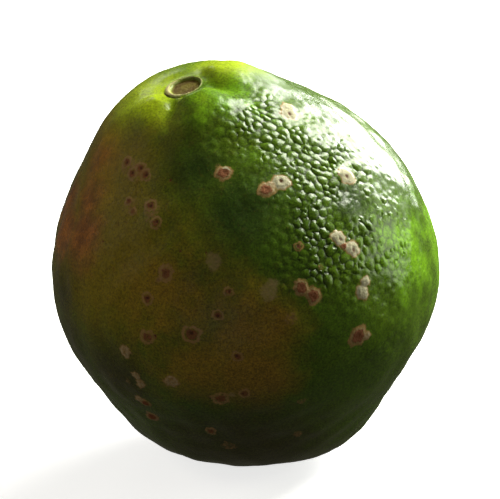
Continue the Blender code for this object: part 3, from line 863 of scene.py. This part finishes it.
def looks_of_points(directions, rises, pebbled, masks):
    """The numbers that the material reads at each point."""
    reach, turn = stem_reach_and_turn(directions)
    thickness = ring_thickness(turn)
    ring = bell(reach - RING_RADIUS, thickness)
    paler = bell(turned_from(turn, RING_WIDE_TURN), RING_WIDE_SPAN)
    cracked = bell(turned_from(turn, CRACK_TURN), CRACK_COLOUR_SPAN)
    calm = zone(directions, CALM_ZONES)
    relief = pebbled * zone(directions, PEBBLED_ZONES, ZONE_FLATNESS) ** RELIEF_FADE * (1.0 - calm)
    numbers = {"scab_" + name: mask for name, mask in masks.items()}
    numbers["calm"] = calm
    numbers["relief"] = relief
    # Each point's rise on its pebble, which the material turns into painted shade between pebbles and
    # painted light on their tops
    numbers["pebble"] = rises * relief
    numbers["ring"] = ring
    numbers["ring_pale"] = ring * (RING_LEAST_PALE + (1.0 - RING_LEAST_PALE) * paler)
    numbers["scar_floor"] = scar_floor(reach, thickness, FLOOR_COLOUR_EDGE)
    numbers["crack"] = bell(reach - CRACK_RADIUS, CRACK_THICKNESS) * cracked
    for name, zones in LOOKS_ZONES.items():
        numbers[name] = zone(directions, zones)
    return numbers


def skin():
    """The points and triangles of the skin, and the numbers that the material reads at each point."""
    marks = scabs()
    directions, shares, heights = net_directions(marks)
    masks = scab_masks(directions, marks)
    pebbled = rind_share(directions) * (1.0 - masks["pad"])
    rises = shares - MEAN_SHARE
    points = skin_points(directions, rises * heights * pebbled, masks)
    return points, joined_into_triangles(directions), looks_of_points(directions, rises, pebbled, masks)


def rind_mesh():
    """The rind as a mesh that stands on its flat spot, and the place of the fruit's middle in it."""
    points, triangles, numbers = skin()
    below = len(points)
    points = np.concatenate([points, [[0.0, 0.0, -FLAT_DEPTH]]])
    ring = np.arange(FLAT_CORNERS)
    fan = np.stack([np.roll(ring, -1), ring, np.full(FLAT_CORNERS, below)], axis=1)
    triangles = np.concatenate([triangles, fan])
    middle = (points.max(axis=0) + points.min(axis=0)) / 2.0
    points -= (middle[0], middle[1], points[:, 2].min())
    mesh = bpy.data.meshes.new("fruit_rind")
    mesh.from_pydata(points.tolist(), [], triangles.tolist())
    mesh.shade_smooth()
    mesh.set_sharp_from_angle(angle=math.radians(CREASE_ANGLE))
    for name, values in numbers.items():
        attribute = mesh.attributes.new(name, "FLOAT", "POINT")
        attribute.data.foreach_set("value", np.append(values, values[0]).astype(np.float32))
    return mesh, Vector((-middle[0], -middle[1], FLAT_DEPTH))


def fruit_rind():
    """Puts the rind in the place of the solid. Gives the place of the fruit's middle."""
    mesh, middle = rind_mesh()
    rind = bpy.data.objects.new("fruit_rind", mesh)
    bpy.context.scene.collection.objects.link(rind)
    rind.data.materials.append(rind_material())
    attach(rind, "root")
    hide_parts("fruit")
    return middle


class Shader:
    """A short way to write a material's nodes."""

    def __init__(self, name):
        self.material = bpy.data.materials.new(name)
        self.material.use_nodes = True
        self.tree = self.material.node_tree
        self.surface = self.tree.nodes["Principled BSDF"].inputs

    def node(self, kind, settings=None, **inputs):
        """A new node with its settings, and with its inputs by their names."""
        made = self.tree.nodes.new(kind)
        for name, value in (settings or {}).items():
            setattr(made, name, value)
        for name, value in inputs.items():
            self.feed(made.inputs[name], value)
        return made

    def feed(self, socket, value):
        """Links another node's output to a socket, or sets a plain value on it."""
        if isinstance(value, bpy.types.NodeSocket):
            self.tree.links.new(value, socket)
        else:
            socket.default_value = value

    def read(self, name):
        """A number that the mesh keeps at each point."""
        return self.node("ShaderNodeAttribute", {"attribute_name": name}).outputs["Fac"]

    def maths(self, operation, *values):
        """One step of arithmetic on numbers and other nodes' outputs."""
        made = self.node("ShaderNodeMath", {"operation": operation})
        for socket, value in zip(made.inputs, values):
            self.feed(socket, value)
        return made.outputs[0]

    def span(self, value, low, high, to_low=0.0, to_high=1.0):
        """Goes smoothly from one number to another while a value goes from low to high."""
        settings = {"interpolation_type": "SMOOTHSTEP"}
        made = self.node("ShaderNodeMapRange", settings, Value=value)
        for name, number in zip(("From Min", "From Max", "To Min", "To Max"), (low, high, to_low, to_high)):
            self.feed(made.inputs[name], number)
        return made.outputs[0]

    def mix(self, data_type, socket_type, share, ends):
        """Goes from one end to the other, of any type, while the share goes from 0 to 1."""
        made = self.node("ShaderNodeMix", {"data_type": data_type})
        self.feed(made.inputs["Factor"], share)
        for name, end in zip("AB", ends):
            socket = [s for s in made.inputs if s.name == name and s.type == socket_type][0]
            self.feed(socket, end)
        return [s for s in made.outputs if s.type == socket_type][0]

    def fade(self, share, first, second):
        """Goes from one number to another while the share goes from 0 to 1."""
        return self.mix("FLOAT", "VALUE", share, (first, second))

    def blend(self, share, first, second):
        """Goes from one colour to another while the share goes from 0 to 1."""
        ends = [end if isinstance(end, bpy.types.NodeSocket) else (*end, 1.0) for end in (first, second)]
        return self.mix("RGBA", "RGBA", share, ends)

    def noise(self, size, detail, roughness):
        """Noise whose spots are about so many metres wide."""
        place = self.node("ShaderNodeTexCoord").outputs["Object"]
        scale = 1.0 / size
        made = self.node("ShaderNodeTexNoise", Vector=place, Scale=scale, Detail=detail, Roughness=roughness)
        return made.outputs["Fac"]

    def swing(self, pattern):
        """Noise about zero."""
        return self.maths("SUBTRACT", self.noise(*pattern), 0.5)

    def bump(self, pattern, depth, strength, under=None):
        """Fine relief of a pattern, on top of the relief under it."""
        made = self.node("ShaderNodeBump", Height=self.noise(*pattern), Distance=depth, Strength=strength)
        if under is not None:
            self.feed(made.inputs["Normal"], under)
        return made.outputs[0]


def rind_colour(shader):
    """The rind's colours: greens with painted light and painted shade, the zones, the blush and the freckles
    over them.
    """
    broad = shader.noise(*BROAD_PATTERN)
    drift = shader.maths("MULTIPLY", shader.maths("SUBTRACT", broad, 0.5), BROAD_FRAY)
    fray = shader.maths("MULTIPLY_ADD", shader.swing(MOTTLE_PATTERN), MOTTLE_FRAY, drift)

    def frayed(name, low, high):
        return shader.span(shader.maths("ADD", shader.read(name), fray), low, high)

    colour = shader.blend(shader.span(broad, *GREEN_RANGE), DEEP_GREEN, MIDDLE_GREEN)
    # Painted light: brighter green, in blotches, where light falls on the right flank and the stem's lobes
    blotched = shader.maths("MULTIPLY_ADD", shader.swing(BLOTCH_PATTERN), BLOTCH_FRAY, shader.read("painted_light"))
    colour = shader.blend(shader.span(blotched, *PAINTED_LIGHT_RANGE), colour, PAINTED_LIGHT_GREEN)
    for name, (tone, low, high) in ZONE_LAYERS.items():
        colour = shader.blend(frayed(name, low, high), colour, tone)
    streaks = shader.span(shader.noise(*STREAK_PATTERN), *STREAK_RANGE)
    blush = shader.blend(streaks, RUSSET_BROWN, RUSSET)
    colour = shader.blend(frayed("blush", *BLUSH_RANGE), colour, blush)
    freckles = shader.span(shader.noise(*FRECKLE_PATTERN), *FRECKLE_RANGE, *FRECKLE_STRENGTHS)
    ripe = shader.maths("MAXIMUM", shader.read("olive"), shader.read("brown"))
    return shader.blend(shader.maths("MULTIPLY", freckles, ripe), colour, FRECKLE_BROWN)


def with_painted_pebble_shade(shader, colour):
    """Painted shade between the pebbles and painted light on their tops, with fine speckles."""
    # Painted shade in the valleys between pebbles and painted light on their tops; the speckles are the
    # rind's own tone
    shade = shader.span(shader.read("pebble"), *PEBBLE_PAINTED_SHADE_RANGE, *PEBBLE_PAINTED_SHADES)
    speckle = shader.span(shader.noise(*SPECKLE_PATTERN), *SPECKLE_RANGE, *SPECKLE_SHADES)
    amount = shader.maths("MULTIPLY", shade, speckle)
    shaded = shader.node("ShaderNodeVectorMath", {"operation": "SCALE"}, Scale=amount)
    shader.feed(shaded.inputs[0], colour)
    return shaded.outputs[0]


def with_scabs(shader, colour):
    """Tan and cream scabs with reddish insides and dark pits over the rind's colours."""
    fray = shader.swing(SCAB_PATTERN)

    def frayed(name, low, high):
        return shader.span(shader.maths("MULTIPLY_ADD", fray, SCAB_FRAY, shader.read(name)), low, high)

    colour = shader.blend(frayed("scab_stain", *STAIN_RANGE), colour, STAIN_TAN)
    corky = shader.blend(frayed("scab_pale", *CREAM_RANGE), SCAB_TAN, SCAB_CREAM)
    colour = shader.blend(frayed("scab_pale", *TAN_RANGE), colour, corky)
    colour = shader.blend(frayed("scab_rim", *RIM_RANGE), colour, corky)
    colour = shader.blend(frayed("scab_red", *RED_RANGE), colour, SCAB_RED)
    return shader.blend(frayed("scab_pit", *PIT_RANGE), colour, SCAB_PIT_COLOUR)


def with_stem_scar(shader, colour):
    """The pale ring, the dry floor and the dark crack of the stem's scar."""
    fray = shader.swing(SCAR_PATTERN)

    def frayed(name, low, high):
        return shader.span(shader.maths("MULTIPLY_ADD", fray, SCAR_FRAY, shader.read(name)), low, high)

    floor = shader.blend(shader.span(shader.noise(*FLOOR_PATTERN), *FLOOR_RANGE), FLOOR_OLIVE, FLOOR_BROWN)
    colour = shader.blend(frayed("ring_pale", *RING_RANGE), colour, RING_CREAM)
    colour = shader.blend(shader.read("scar_floor"), colour, floor)
    return shader.blend(frayed("crack", *CRACK_RANGE), colour, CRACK_BROWN)


def dry_share(shader):
    """How dry the skin is: the pads of the scabs, and the ring and floor of the stem's scar."""
    dry = shader.maths("MAXIMUM", shader.read("scab_pad"), shader.read("ring"))
    return shader.maths("MAXIMUM", dry, shader.read("scar_floor"))


def rind_roughness(shader, dry):
    """Waxy skin, a little smoother where it is calm, duller in places and rough where it is dry."""
    waxy = shader.span(shader.noise(*WAX_PATTERN), *WAX_RANGE, *WAX_ROUGHNESS)
    waxy = shader.maths("MULTIPLY_ADD", shader.read("calm"), CALM_ROUGHNESS, waxy)
    waxy = shader.maths("MULTIPLY_ADD", shader.read("dull"), DULL_ROUGHNESS, waxy)
    return shader.fade(shader.span(dry, *DRY_RANGE), waxy, DRY_ROUGHNESS)


def rind_relief(shader, dry):
    """A fine grain, low lumps on the pebbles and crust on the dry parts."""
    relief = shader.bump(GRAIN_PATTERN, GRAIN_DEPTH, GRAIN_STRENGTH)
    lumpy = shader.span(shader.read("relief"), *LUMP_RANGE, *LUMP_STRENGTHS)
    relief = shader.bump(LUMP_PATTERN, LUMP_DEPTH, lumpy, relief)
    return shader.bump(CRUST_PATTERN, CRUST_DEPTH, shader.span(dry, *CRUST_RANGE), relief)


def rind_material():
    """Waxy green rind with its zones of colour, painted light and painted shade, scabs and scar."""
    shader = Shader("rind")
    dry = dry_share(shader)
    colour = with_painted_pebble_shade(shader, rind_colour(shader))
    looks = {
        "Base Color": with_stem_scar(shader, with_scabs(shader, colour)),
        "Roughness": rind_roughness(shader, dry),
        "Normal": rind_relief(shader, dry),
        "IOR": WAX_IOR,
        "Subsurface Weight": SPREAD_SHARE,
        "Subsurface Radius": SPREAD_COLOURS,
        "Subsurface Scale": SPREAD_DEPTH,
    }
    for name, value in looks.items():
        shader.feed(shader.surface[name], value)
    return shader.material


def floor_material():
    """Pale and matt, with a glow of its own that keeps it near white."""
    shader = Shader("pale_floor")
    looks = {
        "Base Color": (*GROUND_WHITE, 1.0),
        "Roughness": GROUND_ROUGHNESS,
        "Specular IOR Level": GROUND_SHINE,
        "Emission Color": (*GROUND_GLOW_WHITE, 1.0),
        "Emission Strength": GROUND_GLOW,
    }
    for name, value in looks.items():
        shader.feed(shader.surface[name], value)
    return shader.material


def pale_floor():
    """A plain level sheet under the fruit, which neither lights it nor shows in its wax."""
    half = GROUND_SIDE / 2.0
    mesh = bpy.data.meshes.new("floor")
    corners = [(-half, -half, 0.0), (half, -half, 0.0), (half, half, 0.0), (-half, half, 0.0)]
    mesh.from_pydata(corners, [], [(0, 1, 2, 3)])
    floor = bpy.data.objects.new("floor", mesh)
    floor.data.materials.append(floor_material())
    floor.visible_diffuse = False
    floor.visible_glossy = False
    bpy.context.scene.collection.objects.link(floor)


def seen_from_the_photo(right, up, back):
    """A direction given as the photograph's right, up and towards the viewer, in the part's frame."""
    return Vector(VIEW_RIGHT * right + VIEW_UP * up + VIEW_BACK * back).normalized()


def soft_light(name, middle, heading, distance, width, height, power, tint):
    """A rectangle of light that faces the fruit; its height runs towards and away from the viewer."""
    data = bpy.data.lights.new(name, "AREA")
    data.shape = "RECTANGLE"
    data.size = width
    data.size_y = height
    data.energy = power
    data.color = tint
    light = bpy.data.objects.new(name, data)
    heading = seen_from_the_photo(*heading)
    across = heading.cross(Vector(VIEW_BACK)).normalized()
    turn = Matrix((across, heading.cross(across), heading)).transposed().to_4x4()
    light.matrix_world = Matrix.Translation(middle + heading * distance) @ turn
    bpy.context.scene.collection.objects.link(light)
    return light


def backdrop():
    """Even, weak light from all sides."""
    world = bpy.data.worlds.new("studio")
    world.use_nodes = True
    background = world.node_tree.nodes["Background"].inputs
    background["Color"].default_value = (*BACKDROP_COLOUR, 1.0)
    background["Strength"].default_value = BACKDROP_STRENGTH
    bpy.context.scene.world = world


def studio(middle):
    """The pale floor, soft lights about the middle of the fruit, and the backdrop."""
    pale_floor()
    for name, values in MIRRORED_LIGHTS.items():
        soft_light(name, middle, *values)
    for name, values in PLAIN_LIGHTS.items():
        soft_light(name, middle, *values).visible_glossy = False
    backdrop()
    bpy.context.scene.view_settings.view_transform = "Standard"


def photo_camera(middle):
    """The camera that sees the fruit as the photograph does."""
    data = bpy.data.cameras.new("camera")
    data.sensor_width = SENSOR_WIDTH
    data.lens = SENSOR_WIDTH * VIEW_DISTANCE * PIXELS_PER_METRE / PHOTO_WIDTH
    data.clip_start = NEAREST_SEEN
    camera = bpy.data.objects.new("camera", data)
    turn = Matrix((VIEW_RIGHT.tolist(), VIEW_UP.tolist(), VIEW_BACK.tolist())).transposed().to_4x4()
    camera.matrix_world = Matrix.Translation(middle + Vector(VIEW_EYE)) @ turn
    bpy.context.scene.collection.objects.link(camera)
    bpy.context.scene.camera = camera


middle = fruit_rind()
photo_camera(middle)
studio(middle)
